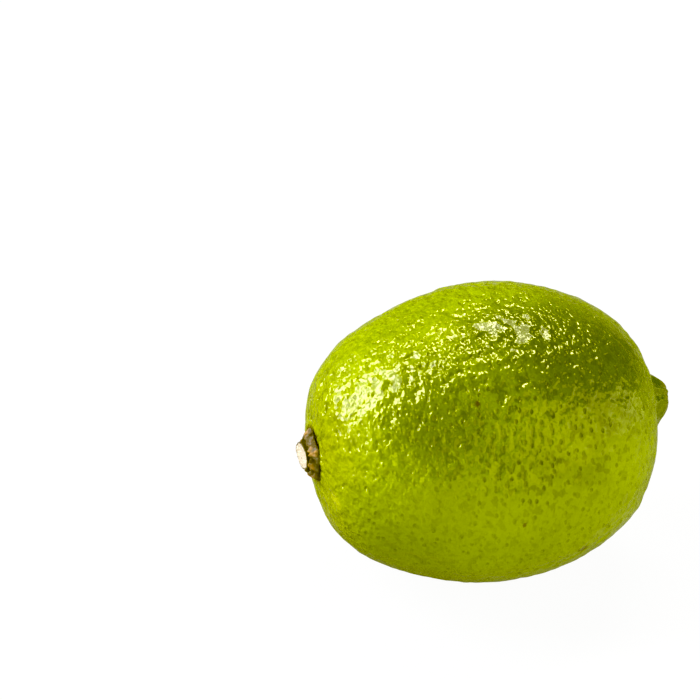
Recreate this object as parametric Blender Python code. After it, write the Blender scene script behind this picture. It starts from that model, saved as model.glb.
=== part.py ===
"""A whole lime lying on its side, with the dry stem button it was picked with.

Metres, +Z up. The fruit's axis runs along X: the stem end is at -X and the
nipple, the small raised tip of the blossom end, is at +X. The origin is the
middle of the flat spot's plane, under the middle of the whole part.
"""

import math

import bmesh
import bpy
from mathutils import Matrix, Vector

# --- Driving dimensions, in metres ---------------------------------------

BODY_LENGTH = 0.0610        # the fruit's body, pole to pole, without its nipple
BODY_DIAMETER = 0.0516      # at the widest girth, before the uneven growth
FLAT_SPOT_DEPTH = 0.00042   # how far the resting side is flattened

BASIN_RADIUS = 0.0085       # the shallow hollow around the stem
BASIN_DEPTH = 0.0009

NIPPLE_HEIGHT = 0.0032      # above the body's pole
NIPPLE_BASE_RADIUS = 0.0055
NIPPLE_TIP_RADIUS = 0.0013  # where the flank starts to fall from the blunt tip
NIPPLE_LIFT = 0.0024        # the nipple grew a little above the axis
STEM_LIFT = 0.0008          # and so did the stem
LIFT_REACH = 0.0120         # how far from the axis the skin follows those lifts

FURROW_RADIUS = 0.0068      # the crease that runs round the nipple
FURROW_WIDTH = 0.0020
FURROW_DEPTH = 0.00055

BUTTON_RADIUS = 0.0043      # the five-lobed calyx disc
BUTTON_RIM_HEIGHT = 0.0005  # thickness at its edge
CROWN_RADIUS = 0.0031       # the woody ring that stands on the disc
CROWN_HEIGHT = 0.0012
STUB_RADIUS = 0.0019        # what is left of the stalk, inside the ring
STUB_HEIGHT = 0.0019
BUTTON_GAP = 0.0003         # clearance between the button and the skin

# --- Shape factors, without a unit ----------------------------------------

STEM_FULLNESS = 0.31        # how much broader the stem end is than an ellipsoid's
BLOSSOM_FULLNESS = 0.21     # and the blossom end
BLOSSOM_LEAN = 0.05         # moves the widest girth towards the blossom end
OVALITY = 0.006             # the girth is slightly oval
OVAL_ANGLE = 0.6            # radians, where the oval is widest
TRIANGULARITY = 0.004       # and slightly three-cornered
TRIANGLE_ANGLE = 1.1
CALYX_LOBES = 5
LOBE_DEPTH = 0.07           # of the disc's radius

# --- How finely the surfaces are divided -----------------------------------

FRUIT_RINGS = 54
FRUIT_SEGMENTS = 60
BUTTON_SEGMENTS = 40
BUTTON_SEAT_RINGS = 4


def smooth_step(low, high, value):
    """0 below low, 1 above high, and a smooth rise in between."""
    share = min(max((value - low) / (high - low), 0.0), 1.0)
    return share * share * (3.0 - 2.0 * share)


def body_point(angle):
    """A point (x, radius) of the profile; the angle is 0 at the stem and pi at the nipple."""
    along = math.cos(angle)
    end_fullness = STEM_FULLNESS if along > 0.0 else BLOSSOM_FULLNESS
    fullness = 1.0 - BLOSSOM_LEAN * along + end_fullness * along ** 4
    radius = BODY_DIAMETER / 2 * math.sin(angle) * fullness
    x = -BODY_LENGTH / 2 * along
    if along > 0.0:
        x += BASIN_DEPTH * math.exp(-(radius / BASIN_RADIUS) ** 2)
    else:
        nipple = 1.0 - smooth_step(NIPPLE_TIP_RADIUS, NIPPLE_BASE_RADIUS, radius)
        crease = math.exp(-((radius - FURROW_RADIUS) / FURROW_WIDTH) ** 2)
        x += NIPPLE_HEIGHT * nipple - FURROW_DEPTH * crease
    return x, radius


def girth_factor(turn):
    """How far the uneven growth moves the skin out or in, at an angle round X."""
    oval = OVALITY * math.cos(2.0 * (turn - OVAL_ANGLE))
    triangle = TRIANGULARITY * math.cos(3.0 * (turn - TRIANGLE_ANGLE))
    return 1.0 + oval + triangle


def end_lift(x, radius):
    """How far the skin near an end is moved up, with the nipple or the stem."""
    height = NIPPLE_LIFT if x > 0.0 else STEM_LIFT
    return height * math.exp(-(radius / LIFT_REACH) ** 2)


def stem_end_x(radius):
    """The x of the skin at a distance from the axis, in the hollow at the stem."""
    low, high = 0.0, math.pi / 4
    for _ in range(40):
        middle = (low + high) / 2
        if body_point(middle)[1] < radius:
            low = middle
        else:
            high = middle
    return body_point(low)[0]


def new_material(name, colour, roughness):
    material = bpy.data.materials.new(name)
    material.use_nodes = True
    material.diffuse_color = (*colour, 1.0)
    shader = material.node_tree.nodes["Principled BSDF"]
    shader.inputs["Base Color"].default_value = (*colour, 1.0)
    shader.inputs["Roughness"].default_value = roughness
    shader.inputs["Metallic"].default_value = 0.0
    return material


def turned(profile, segments):
    """A closed bmesh: a profile of (x, radius) points spun once round the X axis."""
    bm = bmesh.new()
    row = [bm.verts.new((x, 0.0, radius)) for x, radius in profile]
    edges = [bm.edges.new(pair) for pair in zip(row, row[1:])]
    bmesh.ops.spin(
        bm, geom=row + edges, cent=(0.0, 0.0, 0.0), axis=(1.0, 0.0, 0.0),
        angle=2.0 * math.pi, steps=segments, use_duplicate=False,
    )
    bmesh.ops.remove_doubles(bm, verts=bm.verts, dist=1e-6)
    bmesh.ops.recalc_face_normals(bm, faces=bm.faces)
    return bm


def add_object(name, bm, material):
    mesh = bpy.data.meshes.new(name)
    bm.to_mesh(mesh)
    bm.free()
    mesh.materials.append(material)
    mesh.shade_smooth()
    mesh.set_sharp_from_angle(angle=math.radians(40.0))
    part = bpy.data.objects.new(name, mesh)
    bpy.context.scene.collection.objects.link(part)
    return part


def make_fruit():
    """The turned body, made uneven, with its nipple lifted and its rest side flat."""
    profile = []
    for ring in range(FRUIT_RINGS + 1):
        even = math.pi * ring / FRUIT_RINGS
        # Rings lie closer together towards both ends, where the shape is finer.
        profile.append(body_point(even - 0.25 * math.sin(2.0 * even)))
    bm = turned(profile, FRUIT_SEGMENTS)

    for vert in bm.verts:
        x, y, z = vert.co
        radius = math.hypot(y, z)
        factor = girth_factor(math.atan2(z, y))
        vert.co = Vector((x, y * factor, z * factor + end_lift(x, radius)))

    lowest = min(vert.co.z for vert in bm.verts)
    bmesh.ops.bisect_plane(
        bm, geom=bm.verts[:] + bm.edges[:] + bm.faces[:], dist=1e-7,
        plane_co=(0.0, 0.0, lowest + FLAT_SPOT_DEPTH), plane_no=(0.0, 0.0, -1.0),
        clear_outer=True,
    )
    rim = [edge for edge in bm.edges if edge.is_boundary]
    bmesh.ops.edgeloop_fill(bm, edges=rim)
    bmesh.ops.recalc_face_normals(bm, faces=bm.faces)
    return add_object("lime_fruit", bm, new_material("waxy_peel", (0.235, 0.290, 0.004), 0.34))


def make_button():
    """The five-lobed disc, its woody ring and the stalk's stub, seated in the basin.

    The profile is turned with its heights measured from the seat. Each point is
    then moved out to its lobe and down onto the curve of the skin.
    """
    seat = [(0.0, BUTTON_RADIUS * ring / BUTTON_SEAT_RINGS) for ring in range(BUTTON_SEAT_RINGS + 1)]
    crown_foot = (BUTTON_RADIUS + CROWN_RADIUS) / 2
    crown_lip = (CROWN_RADIUS + STUB_RADIUS) / 2
    top = [
        (-BUTTON_RIM_HEIGHT, BUTTON_RADIUS),
        (-(BUTTON_RIM_HEIGHT + CROWN_HEIGHT) / 2, crown_foot),
        (-CROWN_HEIGHT, CROWN_RADIUS),
        (-CROWN_HEIGHT, crown_lip),
        (-BUTTON_RIM_HEIGHT, STUB_RADIUS),
        (-STUB_HEIGHT, STUB_RADIUS),
        (-STUB_HEIGHT, 0.0),
    ]
    bm = turned(seat + top, BUTTON_SEGMENTS)

    for vert in bm.verts:
        height, y, z = vert.co
        turn = math.atan2(z, y)
        radius = math.hypot(y, z)
        lobes = smooth_step(STUB_RADIUS, BUTTON_RADIUS, radius)
        stretch = 1.0 + LOBE_DEPTH * lobes * math.cos(CALYX_LOBES * turn)
        skin_radius = radius * stretch / girth_factor(turn)
        skin_x = stem_end_x(skin_radius)
        skin_lift = end_lift(skin_x, skin_radius)
        vert.co = Vector((skin_x - BUTTON_GAP + height, y * stretch, z * stretch + skin_lift))
    return add_object("stem_button", bm, new_material("dry_calyx", (0.115, 0.068, 0.030), 0.78))


def stand_on_origin(parts):
    """Moves the whole part so that the middle of its box's underside is the origin."""
    corners = [vert.co for part in parts for vert in part.data.vertices]
    low = Vector([min(corner[axis] for corner in corners) for axis in range(3)])
    high = Vector([max(corner[axis] for corner in corners) for axis in range(3)])
    shift = Vector((-(low.x + high.x) / 2, -(low.y + high.y) / 2, -low.z))
    for part in parts:
        part.data.transform(Matrix.Translation(shift))
        part.data.update()


def main():
    for old in list(bpy.data.objects):
        bpy.data.objects.remove(old, do_unlink=True)
    stand_on_origin([make_fruit(), make_button()])


main()
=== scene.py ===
# %% [markdown]
# # A lime, built around its measured frame
#
# This lesson dresses a simple, measured model of a lime with a real one's looks. The simple
# model has two solids: the fruit, lying on its side, and the dry button that its stalk left
# behind. Both stay as they are for physics. Here each gets a finely shaped stand-in, a
# material made of nodes, and a small studio around it.
#
# Every size is in metres. The fruit's axis runs along X, from the stem end at -X to the
# nipple at +X, and Z points up.

# %% Load the frame
import math

import bpy
import numpy as np
from mathutils import Matrix, Quaternion, Vector


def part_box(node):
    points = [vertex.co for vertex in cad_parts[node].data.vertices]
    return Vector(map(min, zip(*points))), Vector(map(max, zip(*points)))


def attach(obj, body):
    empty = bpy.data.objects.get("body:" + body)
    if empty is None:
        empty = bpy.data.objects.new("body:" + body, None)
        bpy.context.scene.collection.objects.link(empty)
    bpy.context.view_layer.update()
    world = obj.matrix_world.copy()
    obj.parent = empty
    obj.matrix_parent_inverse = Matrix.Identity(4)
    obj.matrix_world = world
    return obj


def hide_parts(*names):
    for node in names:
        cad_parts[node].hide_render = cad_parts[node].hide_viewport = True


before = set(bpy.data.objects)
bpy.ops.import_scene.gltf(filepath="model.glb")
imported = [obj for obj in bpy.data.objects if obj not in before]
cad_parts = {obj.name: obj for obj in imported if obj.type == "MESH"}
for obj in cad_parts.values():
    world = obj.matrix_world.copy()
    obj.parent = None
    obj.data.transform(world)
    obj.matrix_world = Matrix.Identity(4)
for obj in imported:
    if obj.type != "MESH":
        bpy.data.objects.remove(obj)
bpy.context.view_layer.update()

MM = 0.001
print("frame nodes:", sorted(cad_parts))

# %% [markdown]
# ## The body of the fruit
#
# A lime is nearly a body of revolution: a plump oval whose two ends are blunter than an
# ellipsoid's, with a shallow basin around the stem, and a nipple inside a soft crease at
# the blossom end. It could be sculpted, but a formula has two advantages. The same few
# sizes that shaped the solid shape this surface too, so both agree, and the surface can be
# asked for a point anywhere, which the oil glands need later.

# %% The body's sizes and its profile
BODY_LENGTH = 61.0 * MM
BODY_DIAMETER = 51.6 * MM
STEM_FULLNESS = 0.31
BLOSSOM_FULLNESS = 0.21
BLOSSOM_LEAN = 0.05
BASIN_RADIUS = 8.5 * MM
BASIN_DEPTH = 0.9 * MM
NIPPLE_HEIGHT = 3.2 * MM
NIPPLE_BASE_RADIUS = 5.5 * MM
NIPPLE_TIP_RADIUS = 1.3 * MM
FURROW_RADIUS = 6.8 * MM
FURROW_WIDTH = 2.0 * MM
FURROW_DEPTH = 0.55 * MM
NIPPLE_LIFT = 2.4 * MM
STEM_LIFT = 0.8 * MM
LIFT_REACH = 12.0 * MM


def smooth_step(low, high, value):
    """0 below low, 1 above high, and 3s^2 - 2s^3 in between, s being the share of the way."""
    share = np.clip((value - low) / (high - low), 0.0, 1.0)
    return share * share * (3.0 - 2.0 * share)


def bell(distance, width):
    """1 at no distance, falling like exp(-(distance / width)^2)."""
    return np.exp(-(distance / width) ** 2)


def body_profile(angle):
    """The profile (x, radius) at an angle of 0 at the stem and pi at the nipple.

    The radius is an ellipse's, times a fullness of 1 - lean * cos + blunt * cos^4. The
    basin, the crease and the nipple then push x in or out, as functions of the radius.
    """
    along = np.cos(angle)
    stem_side = along > 0.0
    blunt = np.where(stem_side, STEM_FULLNESS, BLOSSOM_FULLNESS)
    radius = BODY_DIAMETER / 2 * np.sin(angle) * (1.0 - BLOSSOM_LEAN * along + blunt * along ** 4)
    basin = BASIN_DEPTH * bell(radius, BASIN_RADIUS)
    nipple = NIPPLE_HEIGHT * (1.0 - smooth_step(NIPPLE_TIP_RADIUS, NIPPLE_BASE_RADIUS, radius))
    crease = FURROW_DEPTH * bell(radius - FURROW_RADIUS, FURROW_WIDTH)
    x = -BODY_LENGTH / 2 * along + np.where(stem_side, basin, nipple - crease)
    return x, radius


# %% The body's surface in space
OVALITY = 0.006
OVAL_ANGLE = 0.6
TRIANGULARITY = 0.004
TRIANGLE_ANGLE = 1.1


def girth_factor(turn):
    """1 plus a small oval wave, cos of twice the turn, and a three-cornered one."""
    oval = OVALITY * np.cos(2.0 * (turn - OVAL_ANGLE))
    return 1.0 + oval + TRIANGULARITY * np.cos(3.0 * (turn - TRIANGLE_ANGLE))


def end_lift(x, radius):
    """How far the skin follows the nipple, or the stem, up: a bell around the axis."""
    return np.where(x > 0.0, NIPPLE_LIFT, STEM_LIFT) * bell(radius, LIFT_REACH)


def body_surface(turn, angle):
    """The skin without its relief: the profile turned round X, made uneven and lifted."""
    x, radius = body_profile(angle)
    grown = radius * girth_factor(turn)
    return np.stack([x, grown * np.cos(turn), grown * np.sin(turn) + end_lift(x, radius)], axis=-1)


# %% A grid over the fruit
FRUIT_TURNS = 440
FRUIT_ROWS = 226
END_CROWDING = 0.16


def row_angles(rows):
    """Angles from 0 to pi, drawn closer together at both ends by a sine of twice the angle."""
    even = np.pi * np.arange(rows + 1) / rows
    return even - END_CROWDING * np.sin(2.0 * even)


turn_line = 2.0 * np.pi * np.arange(FRUIT_TURNS) / FRUIT_TURNS
angle_line = row_angles(FRUIT_ROWS)
turn_grid, angle_grid = np.meshgrid(turn_line, angle_line)
skin = body_surface(turn_grid, angle_grid)

fruit_low, fruit_high = (np.array(corner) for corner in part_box("lime_fruit"))
skin_low, skin_high = skin.reshape(-1, 3).min(axis=0), skin.reshape(-1, 3).max(axis=0)
place = np.array([
    fruit_high[0] - skin_high[0],
    (fruit_low[1] + fruit_high[1] - skin_low[1] - skin_high[1]) / 2,
    fruit_high[2] - skin_high[2],
])
skin += place
print("fruit is placed by", np.round(place / MM, 2), "mm")

# %% [markdown]
# ## Noise that is the same every time
#
# The small unevenness of grown things needs a smooth random field. A lattice of random
# numbers, read with smooth interpolation, gives one in a few array operations.

# %% A smooth random field
LATTICE_SIDE = 32
LATTICE_SHIFT = 100.0


def field(points, size, seed):
    """A random field in space, from -1 to 1, whose lumps are about as big as size.

    Each point finds its cell in a repeating lattice of random values and mixes the
    values at the cell's eight corners by smooth steps of its place inside the cell.
    """
    lattice = np.random.default_rng(seed).uniform(-1.0, 1.0, (LATTICE_SIDE,) * 3)
    scaled = points / size + LATTICE_SHIFT
    cell = np.floor(scaled).astype(int)
    inside = scaled - cell
    blend = inside * inside * (3.0 - 2.0 * inside)
    total = np.zeros(points.shape[:-1])
    for corner in np.ndindex(2, 2, 2):
        at = (cell + corner) % LATTICE_SIDE
        weight = np.prod(np.where(corner, blend, 1.0 - blend), axis=-1)
        total += weight * lattice[at[..., 0], at[..., 1], at[..., 2]]
    return total


# %% [markdown]
# ## Oil glands
#
# A lime's peel is full of oil glands, about 1.5 mm apart. Each lifts the skin into a low
# dome with a small pit in its middle, dark green where the pit is open. They could be a
# Voronoi texture, but a texture's cells in space have uneven sizes on a curved skin. So the
# glands are laid out like the seeds of a sunflower, by equal shares of area and the golden
# angle, and each is then nudged by chance.

# %% Laying out the glands
GLAND_COUNT = 4300
GLAND_JITTER = 0.55
GOLDEN_TURN = math.pi * (3.0 - math.sqrt(5.0))


def sunflower(count, jitter, seed):
    """Points (turn, angle) over the body, evenly by area, then nudged at random.

    Point k takes the angle below which the share (k + 1/2) / count of the skin's area
    lies, and turns by k golden angles. The jitter is a share of the mean spacing.
    """
    rng = np.random.default_rng(seed)
    fine = np.linspace(0.0, np.pi, 2001)
    x, radius = body_profile(fine)
    strip = np.hypot(np.diff(x), np.diff(radius)) * (radius[1:] + radius[:-1]) * np.pi
    area = np.concatenate([[0.0], np.cumsum(strip)])
    spacing = math.sqrt(area[-1] / count)
    nudge = rng.uniform(-jitter, jitter, (2, count)) * spacing
    angle = np.interp((np.arange(count) + 0.5) / count * area[-1], area, fine)
    angle = np.clip(angle + nudge[0] / (BODY_LENGTH / 2), 0.01, np.pi - 0.01)
    at_radius = np.interp(angle, fine, radius)
    turn = np.arange(count) * GOLDEN_TURN + nudge[1] / np.maximum(at_radius, spacing)
    return turn % (2.0 * np.pi), angle, spacing


gland_turn, gland_angle, gland_spacing = sunflower(GLAND_COUNT, GLAND_JITTER, seed=3)
gland_points = body_surface(gland_turn, gland_angle) + place
print(GLAND_COUNT, "glands,", round(gland_spacing / MM, 2), "mm apart")


# %% Which gland is nearest
BLOCK = 8000


def nearest(points, sites):
    """For each point the number of the nearest site and the distance, block by block.

    The nearest site s to a point p has the largest p.s - s.s / 2, one product of matrices.
    """
    chosen = np.empty(len(points), dtype=np.int32)
    sites_f = sites.astype(np.float32) / MM
    half = 0.5 * (sites_f ** 2).sum(axis=1)
    for start in range(0, len(points), BLOCK):
        block = points[start:start + BLOCK].astype(np.float32) / MM
        chosen[start:start + BLOCK] = np.argmax(block @ sites_f.T - half, axis=1)
    return chosen, np.linalg.norm(points - sites[chosen], axis=1)


def tangent_frames(turn, angle):
    """Unit vectors along the meridian and across it, from small steps of both angles."""
    step = 1e-4
    along = body_surface(turn, angle + step) - body_surface(turn, angle - step)
    across = body_surface(turn + step, angle) - body_surface(turn - step, angle)
    along /= np.linalg.norm(along, axis=-1, keepdims=True)
    across /= np.linalg.norm(across, axis=-1, keepdims=True)
    return along, across


flat_skin = skin.reshape(-1, 3)
vertex_gland, gland_distance = nearest(flat_skin, gland_points)
gland_along, gland_across = tangent_frames(gland_turn, gland_angle)
print("the skin is never further than", round(gland_distance.max() / MM, 2), "mm from a gland")

# %% [markdown]
# ## The relief of the peel
#
# Four kinds of unevenness make the skin glitter: long low swells, pebbles of one to three
# millimetres, a low dome around each gland, and a few hundred shallow wells. A bump in the
# shader could fake them, but the outline of the fruit shows them too, so they are real
# shape. Near both ends the fruit grew fastest along its axis, so domes there are stretched
# along it. The heights are tenths of a millimetre and less, but a glossy skin shows every
# one of them.

# %% Sizes of the domes, wells and swells
DOME_RADIUS = 1.0 * MM
DOME_HEIGHT = 0.10 * MM
DOME_PATCH = 7.0 * MM
DOME_EVENNESS = 0.55
END_STRETCH = 0.9
WELL_COUNT = 420
WELL_JITTER = 0.9
WELL_RADIUS = 1.5 * MM
WELL_DEPTH = 0.16 * MM
WELL_BOTTOM = 0.3
# Each is the size of the lumps along the axis, their size around it, and their height.
SWELLS = np.array([
    (15.0, 15.0, 0.22), (6.5, 6.5, 0.10), (3.2, 3.6, 0.12), (1.5, 2.1, 0.12), (0.9, 1.4, 0.08),
]) * MM

gland_rng = np.random.default_rng(11)
gland_chance = gland_rng.uniform(0.0, 1.0, GLAND_COUNT)
gland_stretch = 1.0 + END_STRETCH * np.abs(np.cos(gland_angle)) ** 6
print("glands are stretched by up to", round(float(gland_stretch.max()), 2))

# %% Where the skin is pebbly and where it is smooth
BODY_HALF = np.array([32.0, 26.0, 26.0]) * MM
COARSE_SIDE = np.array([-0.55, 0.0, 0.80])
COARSE_FROM, COARSE_TO = -0.15, 0.50
NIPPLE_FROM, NIPPLE_TO, NIPPLE_COARSE = 0.55, 0.85, 0.8
SMOOTHEST = 0.6


def coarseness(points):
    """From 0 to 1, how pebbly the skin is: more towards the top, the stem and the nipple.

    It is a smooth step of the place along one direction, in half sizes of the body. At
    the nipple's end a smooth step of the place along the axis takes over.
    """
    centred = (points - place) / BODY_HALF
    at_nipple = NIPPLE_COARSE * smooth_step(NIPPLE_FROM, NIPPLE_TO, centred[:, 0])
    return np.maximum(smooth_step(COARSE_FROM, COARSE_TO, centred @ COARSE_SIDE), at_nipple)


# %% The height of the relief
def gland_offsets(points, gland):
    """A point's place from its gland: along the axis, shortened by the stretch, and across."""
    offset = points - gland_points[gland]
    along = (offset * gland_along[gland]).sum(axis=-1) / gland_stretch[gland]
    across = (offset * gland_across[gland]).sum(axis=-1)
    return along, across


def well_depth(points):
    """How deep the nearest well is: its own depth, fading out by a smooth step."""
    turn, angle, _ = sunflower(WELL_COUNT, WELL_JITTER, seed=23)
    well, distance = nearest(points, body_surface(turn, angle) + place)
    depth = WELL_DEPTH * np.random.default_rng(29).uniform(0.0, 1.0, WELL_COUNT)[well]
    return depth * (1.0 - smooth_step(WELL_BOTTOM, 1.0, distance / WELL_RADIUS))


def peel_relief(points):
    """The height of the skin above its smooth body, in metres, summed from its parts.

    A dome is 1 - reach^2, where reach is the distance to the gland in dome radii, up to 1.
    """
    coarse = SMOOTHEST + (1.0 - SMOOTHEST) * coarseness(points)
    along, across = gland_offsets(points, vertex_gland)
    reach = np.minimum(np.hypot(along, across) / DOME_RADIUS, 1.0)
    patchy = DOME_EVENNESS + (1.0 - DOME_EVENNESS) * field(points, DOME_PATCH, 37)
    height = DOME_HEIGHT * patchy * coarse * (1.0 - reach ** 2) - well_depth(points)
    for seed, (length, girth, swell) in enumerate(SWELLS, start=40):
        height += coarse * swell * field(points, np.array([length, girth, girth]), seed)
    return height


relief = peel_relief(flat_skin).reshape(skin.shape[:2])
print("relief from", round(relief.min() / MM, 3), "to", round(relief.max() / MM, 3), "mm")

# %% [markdown]
# ## Folds at the two ends
#
# The nipple is gathered into a few uneven ridges that run down into its crease. Below the
# nipple the crease is partly filled, and the tip is blunt, with a small scar where the
# flower's style fell off. At the stem end fine wrinkles run out from the button, and the
# skin forms a low collar around it. Sculpting could do this by hand. Waves of the turn
# round the axis do it in one line each, and can be changed later.

# %% Sizes of the folds
NIPPLE_RIDGE = 0.30 * MM
RIDGE_RADIUS = 3.9 * MM
RIDGE_REACH = 2.2 * MM
CREASE_FILL = 0.75 * MM
FILL_RADIUS = 5.6 * MM
FILL_REACH = 1.8 * MM
TIP_CUT = 0.35 * MM
TIP_RADIUS = 2.0 * MM
STYLE_SCAR = 0.25 * MM
STYLE_RADIUS = 0.7 * MM
STEM_WRINKLE = 0.07 * MM
WRINKLE_RADIUS = 6.0 * MM
WRINKLE_REACH = 4.5 * MM
COLLAR_RADIUS = 5.1 * MM
COLLAR_WIDTH = 0.75 * MM
COLLAR_HEIGHT = 0.30 * MM
COLLAR_UNEVENNESS = 0.35


# %% Ridges of the nipple, wrinkles and collar at the stem
def nipple_folds(turn, radius, wander):
    """Ridges of six and nine waves a turn, a fill on the lower side, and a blunt tip."""
    ridges = 0.6 * np.cos(6.0 * turn + wander) + 0.4 * np.cos(9.0 * turn + 2.0 * wander + 0.7)
    height = NIPPLE_RIDGE * ridges * bell(radius - RIDGE_RADIUS, RIDGE_REACH)
    lower_side = smooth_step(0.2, -0.8, np.sin(turn))
    height += CREASE_FILL * lower_side * bell(radius - FILL_RADIUS, FILL_REACH)
    return height - TIP_CUT * bell(radius, TIP_RADIUS) - STYLE_SCAR * bell(radius, STYLE_RADIUS)


def stem_folds(turn, radius, wander):
    """Wrinkles of nineteen and thirty-one waves a turn, and a collar at one radius."""
    waves = 0.6 * np.cos(19.0 * turn + 2.0 * wander) + 0.4 * np.cos(31.0 * turn - wander)
    wrinkle = STEM_WRINKLE * waves * bell(radius - WRINKLE_RADIUS, WRINKLE_REACH)
    collar = COLLAR_HEIGHT * bell(radius - COLLAR_RADIUS, COLLAR_WIDTH)
    return wrinkle + collar * (1.0 + COLLAR_UNEVENNESS * wander)


def end_folds(turn, angle):
    """The folds of whichever end is nearer; a slow wander keeps their waves uneven."""
    _, radius = body_profile(angle)
    wander = 0.5 * np.sin(2.0 * turn + 1.0) + 0.3 * np.sin(3.0 * turn)
    at_nipple = np.cos(angle) < 0.0
    return np.where(at_nipple, nipple_folds(turn, radius, wander), stem_folds(turn, radius, wander))


folds = end_folds(turn_grid, angle_grid)
relief += folds
print("folds from", round(folds.min() / MM, 2), "to", round(folds.max() / MM, 2), "mm")


# %% Pushing the skin out along its normals
FLAT_SOFTNESS = 0.06 * MM


def grid_normals(points):
    """Outward unit normals of a turned grid: the step round it crossed with the step along."""
    round_step = np.roll(points, -1, axis=1) - np.roll(points, 1, axis=1)
    row_step = np.gradient(points, axis=0)
    normal = np.cross(round_step, row_step)
    normal /= np.maximum(np.linalg.norm(normal, axis=-1, keepdims=True), 1e-12)
    normal[0], normal[-1] = (-1.0, 0.0, 0.0), (1.0, 0.0, 0.0)
    return normal


def soft_floor(height, softness):
    """The larger of a height and 0, rounded where they meet: (h + sqrt(h^2 + s^2)) / 2."""
    return 0.5 * (height + np.sqrt(height ** 2 + softness ** 2))


peel = skin + grid_normals(skin) * relief[..., None]
peel[0], peel[-1] = peel[0].mean(axis=0), peel[-1].mean(axis=0)
peel[..., 2] = soft_floor(peel[..., 2], FLAT_SOFTNESS)
print("peel stands", round(np.ptp(peel[..., 2]) / MM, 2), "mm tall")

# %% [markdown]
# ## From a grid to a mesh
#
# A grid that turns round an axis closes on itself, and its first and last rows shrink to
# one point each. The helpers below make four-sided faces between the rows and a fan of
# triangles at each pole, so the mesh is closed without a seam. The grids here run towards
# +X and turn from +Y to +Z, and the corners are listed so that every face looks outward.

# %% The points and faces of a turned grid
def join_poles(grid):
    """The grid's values as one row of points, with each end row kept once."""
    inner = grid[1:-1].reshape(-1, *grid.shape[2:])
    return np.concatenate([grid[0, :1], inner, grid[-1, :1]])


def fans_and_quads(rows, turns):
    """Corner numbers: the first pole's fan, the faces between the rings, the last fan."""
    left = np.arange(turns)
    right = (left + 1) % turns
    rings = 1 + np.arange(rows - 1) * turns
    pole, last_pole = np.zeros(turns, int), np.full(turns, 1 + (rows - 1) * turns)
    first_fan = np.stack([pole, rings[0] + right, rings[0] + left], axis=1)
    last_fan = np.stack([last_pole, rings[-1] + left, rings[-1] + right], axis=1)
    near, far = rings[:-1, None], rings[1:, None]
    quads = np.stack([near + left, near + right, far + right, far + left], axis=-1)
    return first_fan, quads.reshape(-1, 4), last_fan


def face_starts(sizes):
    """The number of each face's first corner: the sum of the sizes before it."""
    return np.concatenate([[0], np.cumsum(sizes)[:-1]])


# %% A UV map for a turned grid
def write_unwrap(mesh, rows, turns):
    """A UV map with the turn across and the row up, whose seam's last column ends at 1."""
    left = np.arange(turns) / turns
    middle, right = left + 0.5 / turns, left + 1.0 / turns
    step = 1.0 / rows
    zero, one = np.zeros(turns), np.ones(turns)
    first = np.stack([middle, zero, right, zero + step, left, zero + step], axis=1)
    last = np.stack([middle, one, left, one - step, right, one - step], axis=1)
    low = (1.0 + np.arange(rows - 2))[:, None] * step + 0.0 * left
    u0, u1 = left + 0.0 * low, right + 0.0 * low
    quads = np.stack([u0, low, u1, low, u1, low + step, u0, low + step], axis=-1)
    flat = np.concatenate([first.ravel(), quads.ravel(), last.ravel()])
    layer = mesh.uv_layers.new(name="OFBake")
    layer.data.foreach_set("uv", flat.astype(np.float32))


# %% The mesh itself, and its object
def turned_mesh(name, grid):
    """A closed mesh of a grid (rows + 1, turns, 3) whose two end rows are poles."""
    points = join_poles(grid)
    parts = fans_and_quads(grid.shape[0] - 1, grid.shape[1])
    corners = np.concatenate([part.ravel() for part in parts])
    sizes = np.concatenate([np.full(len(part), part.shape[1]) for part in parts])
    mesh = bpy.data.meshes.new(name)
    mesh.vertices.add(len(points))
    mesh.vertices.foreach_set("co", points.astype(np.float32).ravel())
    mesh.loops.add(len(corners))
    mesh.loops.foreach_set("vertex_index", corners.astype(np.int32))
    mesh.polygons.add(len(sizes))
    mesh.polygons.foreach_set("loop_start", face_starts(sizes).astype(np.int32))
    mesh.update(calc_edges=True)
    mesh.shade_smooth()
    write_unwrap(mesh, grid.shape[0] - 1, grid.shape[1])
    print(name, "has", len(points), "points and", len(sizes), "faces")
    return mesh, corners, sizes


def add_piece(name, mesh, material):
    """An object at the origin for a finished mesh, with one material."""
    mesh.materials.append(material)
    piece = bpy.data.objects.new(name, mesh)
    bpy.context.scene.collection.objects.link(piece)
    return piece


peel_mesh, peel_corners, peel_sizes = turned_mesh("lime_peel", peel)

# %% [markdown]
# ## Telling the shader where the glands are
#
# The mesh is too coarse for the sharp edge of a pore, so the shader draws it. It needs the
# distance to the nearest gland, which would blur if it were stored on the points. Stored
# on each face's corners, and measured from one gland for the whole face, it runs straight
# across the face, and the shader's distance is exact.

# %% The gland attribute
def write_glands(mesh, corners, sizes):
    """For each face corner its place from the face's gland, in mm, and that gland's chance.

    A face takes the gland nearest to its middle among those of its first three corners.
    """
    points = join_poles(peel)
    gland = join_poles(vertex_gland.reshape(skin.shape[:2]))
    starts = face_starts(sizes)
    middle = np.add.reduceat(points[corners], starts, axis=0) / sizes[:, None]
    candidates = gland[corners[starts[:, None] + np.arange(3)]]
    distance = np.linalg.norm(gland_points[candidates] - middle[:, None], axis=-1)
    chosen = candidates[np.arange(len(sizes)), distance.argmin(axis=1)]
    chosen = np.repeat(chosen, sizes)
    along, across = gland_offsets(points[corners], chosen)
    values = np.stack([along / MM, across / MM, gland_chance[chosen]], axis=-1)
    attribute = mesh.attributes.new("gland", "FLOAT_VECTOR", "CORNER")
    attribute.data.foreach_set("vector", values.astype(np.float32).ravel())
    print("gland offsets reach", round(float(np.hypot(along, across).max() / MM), 2), "mm")


write_glands(peel_mesh, peel_corners, peel_sizes)

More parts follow.
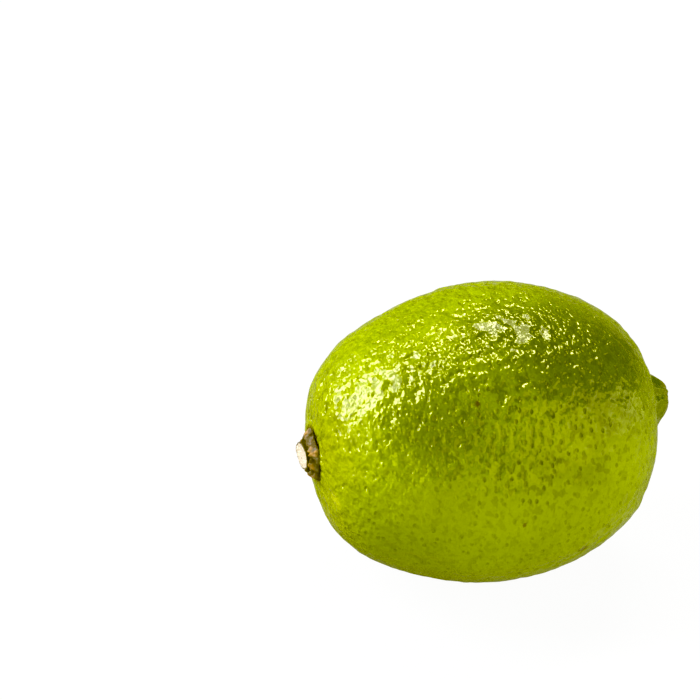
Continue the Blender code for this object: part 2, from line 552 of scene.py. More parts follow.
# %% [markdown]
# ## The dry button
#
# The calyx is a woody disc with five blunt lobes. The stalk broke off inside a raised,
# cracked ring and left a pale stub. The disc is a profile from the middle of the stub's
# top, over the ring and out to the lobes, then back underneath along the skin. The
# profile is turned round the axis, and its radius and height then change with the turn.

# %% The button's profile
BUTTON_TURNS = 260
BUTTON_ROWS = 150
LOBE_DEPTH = 0.10
SEAT_GAP = 0.04 * MM
STUB_SLANT = -0.16
# Each pair is a radius and a height above the skin, from the middle of the top outwards.
BUTTON_PROFILE = np.array([
    (0.0, 2.10), (0.9, 2.12), (1.8, 2.16), (2.32, 2.14), (2.52, 1.95), (2.58, 1.45),
    (2.66, 1.20), (2.82, 1.30), (3.05, 1.48), (3.3, 1.46), (3.52, 1.24), (3.73, 0.98),
    (3.95, 0.78), (4.2, 0.60), (4.4, 0.36), (4.42, 0.12), (4.2, 0.0), (2.0, 0.0), (0.0, 0.0),
]) * MM


def along_profile(knots, count):
    """Points at even steps along a smooth curve through the knots (Catmull-Rom)."""
    padded = np.concatenate([knots[:1], knots, knots[-1:]])
    share = np.linspace(0.0, len(knots) - 1.0, 40 * len(knots))
    at = np.minimum(share.astype(int), len(knots) - 2)
    t = (share - at)[:, None]
    p0, p1, p2, p3 = (padded[at + k] for k in range(4))
    curve = 0.5 * (2.0 * p1 + (p2 - p0) * t + (2.0 * p0 - 5.0 * p1 + 4.0 * p2 - p3) * t ** 2
                   + (3.0 * p1 - p0 - 3.0 * p2 + p3) * t ** 3)
    length = np.concatenate([[0.0], np.cumsum(np.linalg.norm(np.diff(curve, axis=0), axis=1))])
    even = np.linspace(0.0, length[-1], count)
    return np.interp(even, length, curve[:, 0]), np.interp(even, length, curve[:, 1])


def skin_at_stem(radius):
    """The x of the smooth skin at a radius near the stem, read back from the profile."""
    angle = np.linspace(0.0, np.pi / 3, 600)
    x, at_radius = body_profile(angle)
    return np.interp(radius, at_radius, x)


# %% [markdown]
# ## Lobes, cracks and a slanted cut
#
# A dried calyx shrinks unevenly: its edge keeps five lobes, its top is lumpy, and cracks run
# out from the middle. The stalk snapped off at a slant. The fields that shape the button
# also tell the shader where the cut is, where the hollows get painted shade and where the
# raised edges of the rim get painted glints, as three masks stored on its points, so that
# colour and shape agree.

# %% Sizes of the button's unevenness
OVAL_LOBE = 0.04
LOBES_FROM, LOBES_TO = 1.9 * MM, 4.3 * MM
TOP_FROM, TOP_TO = 0.10 * MM, 0.45 * MM
LUMP_HEIGHT, LUMP_SIZE = 0.30 * MM, 1.2 * MM
GRAIN_HEIGHT, GRAIN_SIZE = 0.20 * MM, 0.5 * MM
CRACK_DEPTH = 0.26 * MM
CRACK_FROM, CRACK_TO = 0.30, 0.80
CRACK_RING, CRACK_RUN, CRACK_SIZE = 3.4, 0.35, 0.55
STUB_FROM, STUB_TO = 2.40 * MM, 2.65 * MM
STUB_SMOOTHNESS = 0.75
MIDDLE_RADIUS = 0.5 * MM
CUT_FROM, CUT_TO = 2.05 * MM, 2.30 * MM
CUT_LOW, CUT_HIGH = 1.2 * MM, 1.6 * MM
CLEFT_RADIUS, CLEFT_WIDTH = 2.68 * MM, 0.22 * MM
GLINT_FROM, GLINT_TO = 2.8 * MM, 3.3 * MM


# %% The button's surface
def button_grid():
    """The radius, height and turn of the profile turned round the axis."""
    radius, height = along_profile(BUTTON_PROFILE, BUTTON_ROWS + 1)
    radius[[0, -1]] = 0.0
    turn, _ = np.meshgrid(2.0 * np.pi * np.arange(BUTTON_TURNS) / BUTTON_TURNS, radius)
    return radius[:, None], height[:, None], turn


def lobed(radius, turn):
    """The radius times 1 plus waves of five and two a turn, which fade in outwards."""
    wander = 0.35 * np.sin(2.0 * turn + 0.4) + 0.25 * np.sin(3.0 * turn + 2.0)
    lobes = LOBE_DEPTH * np.cos(5.0 * turn + wander) + OVAL_LOBE * np.sin(2.0 * turn + 1.3)
    return radius * (1.0 + smooth_step(LOBES_FROM, LOBES_TO, radius) * lobes)


def weathering(radius, height, turn, reach):
    """The heights of the lumps and the depths of the cracks, in metres.

    The cracks' field is read on a cylinder: it changes quickly with the turn and slowly
    with the radius, so the cracks run outwards.
    """
    flat = np.stack([height + 0.0 * turn, reach * np.cos(turn), reach * np.sin(turn)], axis=-1)
    lumps = LUMP_HEIGHT * field(flat, LUMP_SIZE, 61) + GRAIN_HEIGHT * field(flat, GRAIN_SIZE, 62)
    run = CRACK_RUN * radius / MM + 0.0 * turn
    cylinder = np.stack([CRACK_RING * np.cos(turn), CRACK_RING * np.sin(turn), run], axis=-1)
    strength = np.abs(field(cylinder, CRACK_SIZE, 63))
    return lumps, CRACK_DEPTH * smooth_step(CRACK_FROM, CRACK_TO, strength)


def find_masks(radius, height, lumps, cracks):
    """Masks 0 to 1 for the stub's cut, painted shade in the cracks and clefts, and painted rim glints."""
    cut = 1.0 - smooth_step(CUT_FROM, CUT_TO, radius)
    cut = cut * smooth_step(CUT_LOW, CUT_HIGH, height) + 0.0 * lumps
    cleft = 2.0 * bell(radius - CLEFT_RADIUS, CLEFT_WIDTH)
    # painted shade: the cracks and clefts are darkened in colour
    crevice_shade = np.clip(cracks / CRACK_DEPTH + cleft - 3.0 * lumps / MM, 0.0, 1.0)
    # painted highlight: raised lumps on the rim are marked for tan glints
    rim_glint = smooth_step(0.05, 0.35, lumps / MM) * smooth_step(GLINT_FROM, GLINT_TO, radius)
    rim_glint = rim_glint * smooth_step(TOP_FROM, TOP_TO, height)
    return np.stack([cut, crevice_shade * (1.0 - cut), rim_glint], axis=-1)


def button_surface():
    """The button's points, standing on the curve of the skin, and its masks.

    The height above the skin is the profile's, plus lumps minus cracks where the surface
    faces out, weaker on the stub, whose cut also slants with its place along Y.
    """
    radius, height, turn = button_grid()
    reach = lobed(radius, turn)
    lumps, cracks = weathering(radius, height, turn, reach)
    top = smooth_step(TOP_FROM, TOP_TO, height)
    stub = 1.0 - smooth_step(STUB_FROM, STUB_TO, radius)
    weathered = (1.0 - STUB_SMOOTHNESS * stub) * smooth_step(0.0, MIDDLE_RADIUS, radius)
    slanted = STUB_SLANT * reach * np.cos(turn) * stub * top
    raised = height + top * (lumps - cracks) * weathered - slanted
    x = skin_at_stem(reach) - SEAT_GAP - raised
    z = reach * np.sin(turn) + end_lift(x, reach)
    points = np.stack([x, reach * np.cos(turn), z], axis=-1) + place
    return points, find_masks(radius, height, lumps, cracks)


button, button_masks = button_surface()
button[0], button[-1] = button[0].mean(axis=0), button[-1].mean(axis=0)
button_mesh, _, _ = turned_mesh("dry_button", button)
attribute = button_mesh.attributes.new("button", "FLOAT_VECTOR", "POINT")
attribute.data.foreach_set("vector", join_poles(button_masks).astype(np.float32).ravel())
print("button is", np.round(np.ptp(join_poles(button), axis=0) / MM, 2), "mm")

# %% [markdown]
# ## Node helpers
#
# Materials are built from nodes in code. A few small helpers keep the recipes readable:
# each adds one node, sets or links its inputs, and hands back its output.

# %% Adding nodes
def plug(tree, socket, value):
    """Links another node's output to an input socket, or sets the input to a value."""
    if isinstance(value, bpy.types.NodeSocket):
        tree.links.new(value, socket)
    else:
        socket.default_value = value


def add_node(tree, kind, settings=None, **inputs):
    """Adds a node, sets its properties, and sets or links inputs by name or number.

    An input's name is written with underscores for spaces; in_0 means the first input.
    """
    node = tree.nodes.new(kind)
    for key, value in (settings or {}).items():
        setattr(node, key, value)
    for key, value in inputs.items():
        name = int(key[3:]) if key.startswith("in_") else key.replace("_", " ")
        plug(tree, node.inputs[name], value)
    return node


# %% Sums with numbers
def maths(tree, operation, *values):
    """A Math node's result; its inputs are numbers or sockets."""
    node = add_node(tree, "ShaderNodeMath", {"operation": operation})
    for socket, value in zip(node.inputs, values):
        plug(tree, socket, value)
    return node.outputs[0]


def plus(tree, first, second):
    """The sum of two numbers."""
    return maths(tree, "ADD", first, second)


def times(tree, first, second):
    """The product of two numbers."""
    return maths(tree, "MULTIPLY", first, second)


def larger(tree, first, second):
    """The larger of two numbers."""
    return maths(tree, "MAXIMUM", first, second)


def around_zero(tree, noise):
    """A noise from 0 to 1 moved to -0.5 to 0.5."""
    return maths(tree, "SUBTRACT", noise, 0.5)


def ramp(tree, value, low, high, to_low=0.0, to_high=1.0):
    """A smooth Map Range of a value from low..high to to_low..to_high."""
    node = add_node(tree, "ShaderNodeMapRange", {"interpolation_type": "SMOOTHSTEP"},
                    Value=value, From_Min=low, From_Max=high, To_Min=to_low, To_Max=to_high)
    return node.outputs[0]


# %% Places, mixes and noise
def separate(tree, vector):
    """The X, Y and Z of a vector."""
    return add_node(tree, "ShaderNodeSeparateXYZ", Vector=vector).outputs[:]


def dot(tree, vector, direction):
    """How far a vector reaches along a direction: their dot product."""
    return add_node(tree, "ShaderNodeVectorMath", {"operation": "DOT_PRODUCT"},
                    in_0=vector, in_1=tuple(direction)).outputs["Value"]


def distance_to(tree, vector, spot):
    """The distance between a place and a spot."""
    return add_node(tree, "ShaderNodeVectorMath", {"operation": "DISTANCE"},
                    in_0=vector, in_1=tuple(spot)).outputs["Value"]


def noise(tree, vector, scale, detail):
    """A Noise Texture's value, about 0 to 1, whose lumps are about 1 / scale big."""
    return add_node(tree, "ShaderNodeTexNoise", Vector=vector, Scale=scale, Detail=detail).outputs[0]


def mix_colour(tree, share, first, second):
    """A Mix node for colours; share is 0 for the first and 1 for the second."""
    node = add_node(tree, "ShaderNodeMix", {"data_type": "RGBA"}, in_0=share, in_6=first, in_7=second)
    return node.outputs[2]


def mix_value(tree, share, first, second):
    """A Mix node for plain numbers; share is 0 for the first and 1 for the second."""
    return add_node(tree, "ShaderNodeMix", in_0=share, in_2=first, in_3=second).outputs[0]


# %% Groups and materials
def new_group(name, inputs, outputs):
    """A shader node group with float, vector or colour sockets, given as name: kind."""
    group = bpy.data.node_groups.new(name, "ShaderNodeTree")
    for socket, (kind, value) in inputs.items():
        made = group.interface.new_socket(socket, in_out="INPUT", socket_type=kind)
        if value is not None:
            made.default_value = value
    for socket, kind in outputs.items():
        group.interface.new_socket(socket, in_out="OUTPUT", socket_type=kind)
    return group, group.nodes.new("NodeGroupInput"), group.nodes.new("NodeGroupOutput")


def new_material(name):
    """An empty material with a Principled shader, its node tree and that shader."""
    material = bpy.data.materials.new(name)
    material.use_nodes = True
    return material, material.node_tree, material.node_tree.nodes["Principled BSDF"]


# %% [markdown]
# ## Mottling, for the peel and for the button
#
# Grown surfaces are never one colour. Patches of one tone run into another, with a ragged
# edge. One noise picks the patches and a finer one frays their edges. Both materials use
# it, at their own scales, so it is a group.

# %% The mottling group
FLOAT, VECTOR = "NodeSocketFloat", "NodeSocketVector"

mottling, mottling_in, mottling_out = new_group(
    "mottling",
    {
        "Place": (VECTOR, None),
        "Patch Scale": (FLOAT, 60.0),
        "Fray Scale": (FLOAT, 500.0),
        "Fray": (FLOAT, 0.25),
        "Threshold": (FLOAT, 0.5),
        "Softness": (FLOAT, 0.15),
    },
    {"Mask": FLOAT},
)
given = mottling_in.outputs
patches = noise(mottling, given["Place"], given["Patch Scale"], 2.0)
frays = noise(mottling, given["Place"], given["Fray Scale"], 3.0)
frayed = plus(mottling, patches, times(mottling, around_zero(mottling, frays), given["Fray"]))
patch_low = maths(mottling, "SUBTRACT", given["Threshold"], given["Softness"])
patch_high = plus(mottling, given["Threshold"], given["Softness"])
mottling.links.new(ramp(mottling, frayed, patch_low, patch_high), mottling_out.inputs["Mask"])


def mottle(tree, place_socket, **values):
    """The mask of one mottling group placed in a material."""
    node = add_node(tree, "ShaderNodeGroup", {"node_tree": mottling}, Place=place_socket, **values)
    return node.outputs["Mask"]


print("mottling group has", len(mottling.nodes), "nodes")

# %% [markdown]
# ## The peel's material
#
# A lime's colour comes from below a thin clear wax: deep green in some patches, yellower in
# others, and darker again in each open pore. The deeper green along one side and on one cheek
# is painted shade, and so is part of the pores' darkness. It could be painted by hand. Here it
# is built up in layers instead, and each layer mixes in one colour where a mask of places and
# noise says so, because a layer can be changed without touching the others.

# %% Peel colours
DEEP_GREEN_AND_SHADE = (0.050, 0.070, 0.002, 1.0)
LIME_GREEN = (0.202, 0.262, 0.002, 1.0)
RIPE_YELLOW = (0.270, 0.270, 0.004, 1.0)
GLAND_AND_SHADE_GREEN = (0.045, 0.062, 0.001, 1.0)
SCAR_AND_SHADOW_BROWN = (0.045, 0.022, 0.006, 1.0)
NIPPLE_GREEN = (0.040, 0.066, 0.003, 1.0)
TIP_TAN = (0.210, 0.190, 0.060, 1.0)
RUB_YELLOW = (0.340, 0.370, 0.020, 1.0)

# %% Where a point of the peel is: in metres, and from the middle in half sizes of the body
peel_material, tree, shader = new_material("waxy_peel")
where = tree.nodes.new("ShaderNodeTexCoord").outputs["Object"]
at_x, _, at_z = separate(tree, where)
in_body = add_node(tree, "ShaderNodeMapping", {"vector_type": "TEXTURE"}, Vector=where,
                   Location=tuple(place), Scale=tuple(BODY_HALF)).outputs[0]
body_x, body_y, _ = separate(tree, in_body)

# %% Painted shade: deeper green towards one side and on one cheek; greener patches of own tone
PAINTED_SHADE_SIDE = (0.50, -0.42, 0.75)
SHADED_CHEEK = np.array([-12.0, -15.5, 43.5]) * MM
CHEEK_INNER, CHEEK_OUTER = 6.0 * MM, 17.0 * MM

green_patch = mottle(tree, where, Patch_Scale=46.0, Fray_Scale=420.0, Fray=0.22,
                     Threshold=0.50, Softness=0.18)
# painted shade: deeper green along one side of the fruit, swayed by the patches
painted_shade = plus(tree, dot(tree, in_body, PAINTED_SHADE_SIDE), times(tree, around_zero(tree, green_patch), 0.28))
shade_and_greenness = ramp(tree, painted_shade, 0.60, 0.98, 0.0, 0.85)
shade_and_greenness = times(tree, shade_and_greenness, ramp(tree, body_y, -0.25, 0.30, 1.0, 0.30))
shade_and_greenness = larger(tree, shade_and_greenness, times(tree, green_patch, 0.22))
# painted shade: deeper green on one cheek
cheek_shade = ramp(tree, distance_to(tree, where, SHADED_CHEEK), CHEEK_INNER, CHEEK_OUTER, 0.42, 0.0)
shade_and_greenness = larger(tree, shade_and_greenness, times(tree, cheek_shade, plus(tree, green_patch, 0.5)))
skin_colour = mix_colour(tree, shade_and_greenness, LIME_GREEN, DEEP_GREEN_AND_SHADE)

# %% Riper around the stem and underneath
stem_halo = ramp(tree, at_x, -31.0 * MM, -24.0 * MM, 0.6, 0.0)
under_side = ramp(tree, at_z, 1.0 * MM, 12.0 * MM, 0.50, 0.0)
ripe_patch = mottle(tree, where, Patch_Scale=80.0, Fray_Scale=600.0, Fray=0.2,
                    Threshold=0.5, Softness=0.2)
ripe_share = plus(tree, times(tree, ripe_patch, 0.6), 0.3)
ripeness = times(tree, larger(tree, stem_halo, under_side), ripe_share)
skin_colour = mix_colour(tree, ripeness, skin_colour, RIPE_YELLOW)

# %% Green streaks that run out from the stem, and a painted shadow ring around the button
STEM_AXIS = (0.0, float(place[1]), float(place[2]) + STEM_LIFT)

beside_axis = add_node(tree, "ShaderNodeVectorMath", {"operation": "SUBTRACT"},
                       in_0=where, in_1=STEM_AXIS).outputs[0]
_, round_y, round_z = separate(tree, beside_axis)
squares = plus(tree, maths(tree, "POWER", round_y, 2.0), maths(tree, "POWER", round_z, 2.0))
from_axis = maths(tree, "SQRT", squares)
spoke = add_node(tree, "ShaderNodeCombineXYZ", X=maths(tree, "DIVIDE", round_y, from_axis),
                 Y=maths(tree, "DIVIDE", round_z, from_axis), Z=times(tree, from_axis, 40.0))
streak = noise(tree, spoke.outputs[0], 9.0, 2.0)
at_stem = ramp(tree, at_x, -29.0 * MM, -23.0 * MM, 1.0, 0.0)
streaks = times(tree, ramp(tree, streak, 0.50, 0.66), times(tree, at_stem, 0.50))
skin_colour = mix_colour(tree, streaks, skin_colour, DEEP_GREEN_AND_SHADE)
# painted shadow: a brown ring on the skin around the button's base
at_button = ramp(tree, at_x, -28.0 * MM, -29.0 * MM)
shadow_ring = times(tree, ramp(tree, from_axis, 4.4 * MM, 5.6 * MM, 1.0, 0.0), at_button)
skin_colour = mix_colour(tree, shadow_ring, skin_colour, SCAR_AND_SHADOW_BROWN)

# %% A darker nipple with a tan tip
nipple_end = ramp(tree, at_x, 27.8 * MM, 30.0 * MM)
skin_colour = mix_colour(tree, times(tree, nipple_end, 0.85), skin_colour, NIPPLE_GREEN)
tip = times(tree, ramp(tree, at_x, 31.2 * MM, 32.4 * MM), ramp(tree, streak, 0.42, 0.58))
skin_colour = mix_colour(tree, times(tree, tip, 0.6), skin_colour, TIP_TAN)

# %% [markdown]
# ## Pebbles and pores
#
# The skin has fine pebbles about a millimetre across, which a noise adds. Over each gland
# is a pore, a small pit with a ragged edge. Some pores are open and dark, and most are
# nearly closed, so each gland's own chance sets how wide, deep and dark its pore is. The pits
# and the grooves between the pebbles also get painted shade, strongest on one shoulder of
# the fruit.

# %% Pebbles, a little longer round the fruit than along it
stretched = add_node(tree, "ShaderNodeMapping", Vector=where, Scale=(1.25, 0.95, 0.95))
fine = noise(tree, stretched.outputs[0], 680.0, 1.3)
# a mask for painted shade in the grooves between the pebbles
groove_shade = ramp(tree, fine, 0.38, 0.47, 0.60, 0.0)

# %% How far a point is from its gland, in millimetres, and how large the pore there is
gland = add_node(tree, "ShaderNodeAttribute", {"attribute_name": "gland"})
gland_a, gland_b, chance = separate(tree, gland.outputs["Vector"])
pore_place = add_node(tree, "ShaderNodeCombineXYZ", X=times(tree, gland_a, 1.2),
                      Y=times(tree, gland_b, 0.8))
gland_reach = add_node(tree, "ShaderNodeVectorMath", {"operation": "LENGTH"},
                       in_0=pore_place.outputs[0]).outputs["Value"]
wobble = around_zero(tree, noise(tree, where, 2200.0, 1.0))
pore_radius = ramp(tree, chance, 0.0, 1.0, 0.30, 0.50)
ragged_reach = plus(tree, gland_reach, times(tree, wobble, 0.22))
pore_reach = maths(tree, "DIVIDE", ragged_reach, pore_radius)
pore = ramp(tree, pore_reach, 0.50, 1.0, 1.0, 0.0)
openness = maths(tree, "POWER", chance, 2.2)

# %% Dark green in the pores, and painted shade in the pits and the grooves between the pebbles
PORE_SHADE_SIDE = (0.15, -0.72, 0.67)

# painted shade: the pits and grooves are darkest on one side of the fruit
pore_shade_area = ramp(tree, dot(tree, in_body, PORE_SHADE_SIDE), 0.66, 0.92, 0.42, 1.0)
# the pores' own dark green, with painted shade in the pits and the grooves
pore_dark_and_shade = times(tree, plus(tree, times(tree, openness, 0.90), 0.12), pore)
pore_dark_and_shade = times(tree, larger(tree, pore_dark_and_shade, groove_shade), pore_shade_area)
skin_colour = mix_colour(tree, pore_dark_and_shade, skin_colour, GLAND_AND_SHADE_GREEN)

# %% [markdown]
# ## Marks
#
# Every fruit has a few scars and rubs from its tree and its crate. A mark is the space
# within a ragged distance of a spot on the skin, so it needs no drawn image.

# %% Each mark is a spot and a radius in millimetres, and a colour
MARKS = (
    (11.8, -20.8, 13.1, 1.30, SCAR_AND_SHADOW_BROWN),
    (-0.4, -25.8, 23.4, 0.60, SCAR_AND_SHADOW_BROWN),
    (6.2, -23.7, 34.2, 0.85, GLAND_AND_SHADE_GREEN),
    (-6.5, -17.0, 43.4, 0.75, SCAR_AND_SHADOW_BROWN),
    (-29.3, -10.1, 23.1, 2.40, RUB_YELLOW),
)
MARK_FRAY = 0.9 * MM
MARK_CORE = 0.3
MARK_STRENGTH = 0.85

for *spot, radius_mm, colour in MARKS:
    away = distance_to(tree, where, np.array(spot) * MM)
    frayed = plus(tree, away, times(tree, wobble, MARK_FRAY))
    radius = radius_mm * MM
    mark = ramp(tree, frayed, MARK_CORE * radius, radius, MARK_STRENGTH, 0.0)
    skin_colour = mix_colour(tree, mark, skin_colour, colour)

print(len(MARKS), "marks on the peel")

# %% [markdown]
# ## Wax
#
# The wax is a thin clear coat with a sharp shine over a duller sheen. The pores and the
# fine pebbles break that shine up. Their edges are too fine for the mesh, so a bump gives
# them to the shader as heights in millimetres. The pebbles are lower where the skin is
# smooth.

# %% Roughness: a little cloudy, and rougher in the pores
WAX_ROUGHNESS = 0.12
CLOUDED, PORE_ROUGHER = 0.07, 0.15

cloudy = mottle(tree, where, Patch_Scale=120.0, Fray_Scale=900.0, Fray=0.3,
                Threshold=0.5, Softness=0.3)
uneven_wax = plus(tree, times(tree, cloudy, CLOUDED), times(tree, pore, PORE_ROUGHER))
wax_roughness = plus(tree, uneven_wax, WAX_ROUGHNESS)

# %% Heights for the bump, in millimetres
PORE_SINK, OPEN_PORE_SINK = -0.05, -0.18
DOME_CURVE = -0.085
PEBBLE_HEIGHT = 0.62
SMOOTHEST_PEBBLES = 0.36

pore_sink = plus(tree, times(tree, openness, OPEN_PORE_SINK), PORE_SINK)
pore_depth = times(tree, ramp(tree, pore_reach, 0.0, 1.1, 1.0, 0.0), pore_sink)
dome = times(tree, maths(tree, "POWER", gland_reach, 2.0), DOME_CURVE)
coarse_side = dot(tree, in_body, COARSE_SIDE)
at_nipple = ramp(tree, body_x, NIPPLE_FROM, NIPPLE_TO, 0.0, NIPPLE_COARSE)
coarse = larger(tree, ramp(tree, coarse_side, COARSE_FROM, COARSE_TO, SMOOTHEST_PEBBLES, 1.0), at_nipple)
pebble = plus(tree, dome, times(tree, fine, PEBBLE_HEIGHT))
pore_height = plus(tree, pore_depth, times(tree, pebble, coarse))
peel_bump = add_node(tree, "ShaderNodeBump", Height=pore_height, Distance=1.0 * MM, Strength=1.0)

# %% The peel's shader
plug(tree, shader.inputs["Base Color"], skin_colour)
plug(tree, shader.inputs["Roughness"], wax_roughness)
plug(tree, shader.inputs["Normal"], peel_bump.outputs[0])
PEEL_VALUES = {
    "IOR": 1.50,
    "Specular IOR Level": 0.5,
    "Specular Tint": (1.0, 1.0, 0.55, 1.0),
    "Coat Weight": 0.28,
    "Coat Roughness": 0.04,
    "Coat IOR": 1.40,
    "Subsurface Weight": 0.10,
    "Subsurface Radius": (1.0, 1.0, 0.2),
    "Subsurface Scale": 0.8 * MM,
}
for name, value in PEEL_VALUES.items():
    shader.inputs[name].default_value = value

print("peel material has", len(tree.nodes), "nodes")

# %% The peel stands in for the fruit
fruit = add_piece("lime_peel", peel_mesh, peel_material)
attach(fruit, "root")
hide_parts("lime_fruit")

# %% [markdown]
# ## The button's material
#
# Dry calyx is rough, grey-brown and cracked. Its cracks and clefts get painted shade, nearly
# black, and the raised edges of its rim get painted tan glints. The stalk's cut end is pale straw.

# %% Button colours
BARK_BROWN = (0.060, 0.032, 0.034, 1.0)
BARK_GREY = (0.120, 0.092, 0.096, 1.0)
# painted shade for the crevices, and painted glints for the rim
CREVICE_SHADE = (0.016, 0.005, 0.005, 1.0)
TAN_GLINT = (0.340, 0.180, 0.080, 1.0)
PALE_STUB = (0.520, 0.450, 0.360, 1.0)
STRAW = (0.260, 0.200, 0.140, 1.0)

# %% Bark, painted rim glints, painted shade in the crevices, and the pale cut
button_material, tree, shader = new_material("dry_calyx")
where = tree.nodes.new("ShaderNodeTexCoord").outputs["Object"]
masks = add_node(tree, "ShaderNodeAttribute", {"attribute_name": "button"}).outputs["Vector"]
cut_mask, crevice_shade_mask, rim_glint_mask = separate(tree, masks)
grain = noise(tree, where, 3500.0, 3.0)
grey_patch = mottle(tree, where, Patch_Scale=900.0, Fray_Scale=4000.0, Fray=0.4,
                    Threshold=0.52, Softness=0.12)
bark = mix_colour(tree, grey_patch, BARK_BROWN, BARK_GREY)
# painted highlight: tan glints on the rim's raised edges
bark = mix_colour(tree, rim_glint_mask, bark, TAN_GLINT)
# painted shade: nearly black in the cracks and clefts
bark = mix_colour(tree, crevice_shade_mask, bark, CREVICE_SHADE)
pith = mix_colour(tree, ramp(tree, grain, 0.52, 0.66), PALE_STUB, STRAW)
bark = mix_colour(tree, cut_mask, bark, pith)
button_bump = add_node(tree, "ShaderNodeBump", Height=grain, Distance=0.12 * MM, Strength=0.9)
plug(tree, shader.inputs["Base Color"], bark)
plug(tree, shader.inputs["Roughness"], ramp(tree, grain, 0.3, 0.7, 0.62, 0.9))
plug(tree, shader.inputs["Normal"], button_bump.outputs[0])

# %% The button stands in for its solid
dry_button = add_piece("dry_button", button_mesh, button_material)
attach(dry_button, "root")
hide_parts("stem_button")

# %% [markdown]
# ## The studio
#
# The lime lies on a wide white floor in front of white. A tall soft light stands at its
# left and a smaller one hangs above and behind it. Four weaker ones fill in: one at the
# left, two behind, and a wide, tilted card in front at the right. A glossy skin shows the
# floor as well, so the floor glows more in reflections on the camera's side than behind.
# What the camera sees of floor and background is plain white.

# %% Floor
FLOOR_SIZE = 6.0
FLOOR_GREY = (0.38, 0.38, 0.38, 1.0)
WHITE = (1.0, 1.0, 1.0, 1.0)
TOWARDS_CAMERA = (0.30, -0.95, 0.0)
GLOW_FROM, GLOW_TO = -0.01, 0.07
GLOW_REFLECTED, GLOW_SEEN = 2.3, 1.03
SHARE_REFLECTED, SHARE_SEEN = 0.5, 0.94


def make_floor():
    """A square floor around the origin, level with the bottom of the fruit.

    Its material mixes a matt grey, which takes shadows, with a glow. The camera sees nearly
    only the glow. Other rays see half of each, and the glow grows towards the camera's side.
    """
    half = FLOOR_SIZE / 2
    mesh = bpy.data.meshes.new("studio_floor")
    corners = [(-half, -half, 0.0), (half, -half, 0.0), (half, half, 0.0), (-half, half, 0.0)]
    mesh.from_pydata(corners, [], [(0, 1, 2, 3)])
    material, tree, shader = new_material("white_table")
    shader.inputs["Base Color"].default_value = FLOOR_GREY
    shader.inputs["Roughness"].default_value = 0.9
    shader.inputs["Specular IOR Level"].default_value = 0.0
    forward = dot(tree, tree.nodes.new("ShaderNodeTexCoord").outputs["Object"], TOWARDS_CAMERA)
    seen = add_node(tree, "ShaderNodeLightPath").outputs["Is Camera Ray"]
    reflected = times(tree, ramp(tree, forward, GLOW_FROM, GLOW_TO), GLOW_REFLECTED)
    strength = mix_value(tree, seen, reflected, GLOW_SEEN)
    glow = add_node(tree, "ShaderNodeEmission", Color=WHITE, Strength=strength)
    share = mix_value(tree, seen, SHARE_REFLECTED, SHARE_SEEN)
    blend = add_node(tree, "ShaderNodeMixShader", in_0=share, in_1=shader.outputs[0], in_2=glow.outputs[0])
    plug(tree, tree.nodes["Material Output"].inputs["Surface"], blend.outputs[0])
    return add_piece("studio_floor", mesh, material)


floor = make_floor()

# %% Surroundings: white for the camera, nearly dark for every other ray
DIM = 0.03

world = bpy.data.worlds.new("studio")
bpy.context.scene.world = world
world.use_nodes = True
tree = world.node_tree
background = tree.nodes["Background"]
background.inputs["Color"].default_value = WHITE
background.inputs["Strength"].default_value = DIM
white_wall = add_node(tree, "ShaderNodeBackground", Color=WHITE, Strength=1.0)
seen = add_node(tree, "ShaderNodeLightPath").outputs["Is Camera Ray"]
blend = add_node(tree, "ShaderNodeMixShader", in_0=seen, in_1=background.outputs[0],
                 in_2=white_wall.outputs[0])
plug(tree, tree.nodes["World Output"].inputs["Surface"], blend.outputs[0])
print("floor is", FLOOR_SIZE, "m wide")

# %% Soft lights
WARM_WHITE = (1.0, 0.98, 0.82)
CENTRE = Vector(place.tolist())


def soft_light(name, heading, rise, distance, width, height, radiance, roll=0.0):
    """A rectangular light that faces the fruit.

    The heading is degrees round Z from +X, the rise is degrees above the floor, and the
    roll turns the rectangle on its middle. Its power is the radiance times its area times
    pi, so its brightness keeps as its size changes.
    """
    light = bpy.data.lights.new(name, "AREA")
    light.shape = "RECTANGLE"
    light.size, light.size_y = width, height
    light.energy = radiance * width * height * math.pi
    lamp = bpy.data.objects.new(name, light)
    turn, tilt = math.radians(heading), math.radians(rise)
    level = math.cos(tilt)
    towards = Vector((math.cos(turn) * level, math.sin(turn) * level, math.sin(tilt)))
    lamp.location = CENTRE + towards * distance
    facing = towards.to_track_quat("Z", "Y") @ Quaternion((0.0, 0.0, 1.0), math.radians(roll))
    lamp.rotation_euler = facing.to_euler()
    bpy.context.scene.collection.objects.link(lamp)
    return lamp


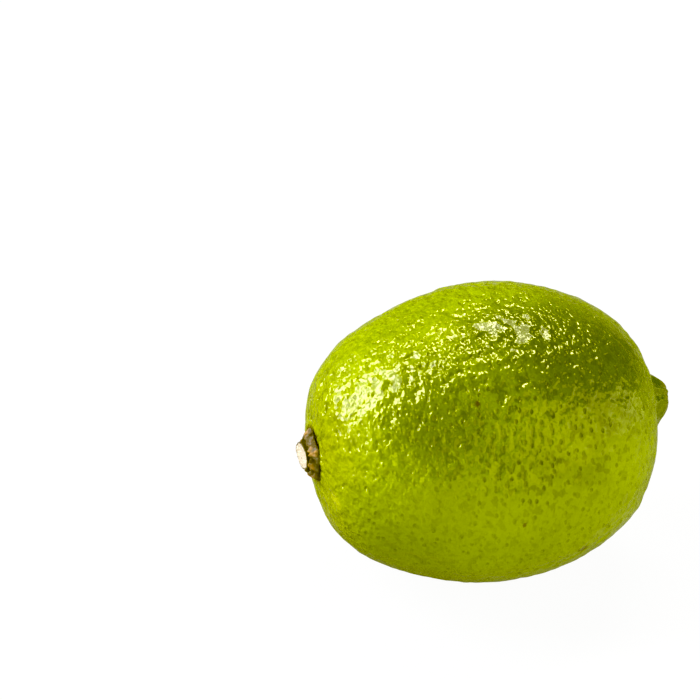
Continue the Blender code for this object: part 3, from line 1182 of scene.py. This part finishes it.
soft_light("window_light", 158.0, 34.0, 0.9, 0.36, 0.82, 19.0)
soft_light("left_fill", -168.0, 12.0, 1.0, 0.7, 0.6, 3.6)
overhead = soft_light("overhead_light", 60.0, 60.0, 0.9, 0.40, 0.30, 23.0)
overhead.data.color = WARM_WHITE
soft_light("back_wall", 126.0, 16.0, 1.2, 0.6, 0.6, 1.6)
soft_light("backdrop", 56.0, 1.0, 1.2, 0.7, 0.14, 0.7)
soft_light("front_card", -38.0, 5.0, 1.0, 2.35, 1.15, 2.8, roll=-34.0)

# %% [markdown]
# ## The camera
#
# A long lens keeps the near and the far side of the fruit at nearly the same scale. It
# looks past the fruit's upper left, which puts the fruit low and right of the middle of
# the frame.

# %% Camera
CAMERA_HEADING = -14.5
CAMERA_RISE = 33.0
CAMERA_DISTANCE = 0.80
SENSOR_WIDTH = 36.0
VIEW_WIDTH = 0.1211
FRUIT_RIGHT, FRUIT_DOWN = 0.02244, 0.01448

turn, rise = math.radians(CAMERA_HEADING), math.radians(CAMERA_RISE)
level = math.cos(rise)
backward = Vector((math.sin(turn) * level, -math.cos(turn) * level, math.sin(rise)))
rightward = Vector((math.cos(turn), math.sin(turn), 0.0))
upward = backward.cross(rightward)
camera_data = bpy.data.cameras.new("camera")
camera_data.sensor_width = SENSOR_WIDTH
camera_data.lens = SENSOR_WIDTH * CAMERA_DISTANCE / VIEW_WIDTH
camera_data.clip_start, camera_data.clip_end = 0.01, 20.0
camera = bpy.data.objects.new("camera", camera_data)
camera.location = CENTRE + backward * CAMERA_DISTANCE - rightward * FRUIT_RIGHT + upward * FRUIT_DOWN
camera.rotation_euler = Matrix((rightward, upward, backward)).transposed().to_euler()
bpy.context.scene.collection.objects.link(camera)
bpy.context.scene.camera = camera
print("lens", round(camera_data.lens, 1), "mm")

# %% [markdown]
# ## The film
#
# A camera's own processing makes strong colours stronger, and in a strong yellow-green the
# little blue there is falls away first. A curve for blue alone does that here. It pulls
# faint blue down to almost nothing and leaves bright blue nearly as it is, so that the
# highlights and the floor stay white.

# %% A curve that lowers faint blue
FAINT_BLUE = (0.12, 0.008)
HALF_BLUE = (0.26, 0.15)

film = bpy.context.scene.view_settings
film.view_transform = "Standard"
film.use_curve_mapping = True
blue = film.curve_mapping.curves[2]
blue.points.new(*FAINT_BLUE)
blue.points.new(*HALF_BLUE)
film.curve_mapping.update()
print("blue curve has", len(blue.points), "points")
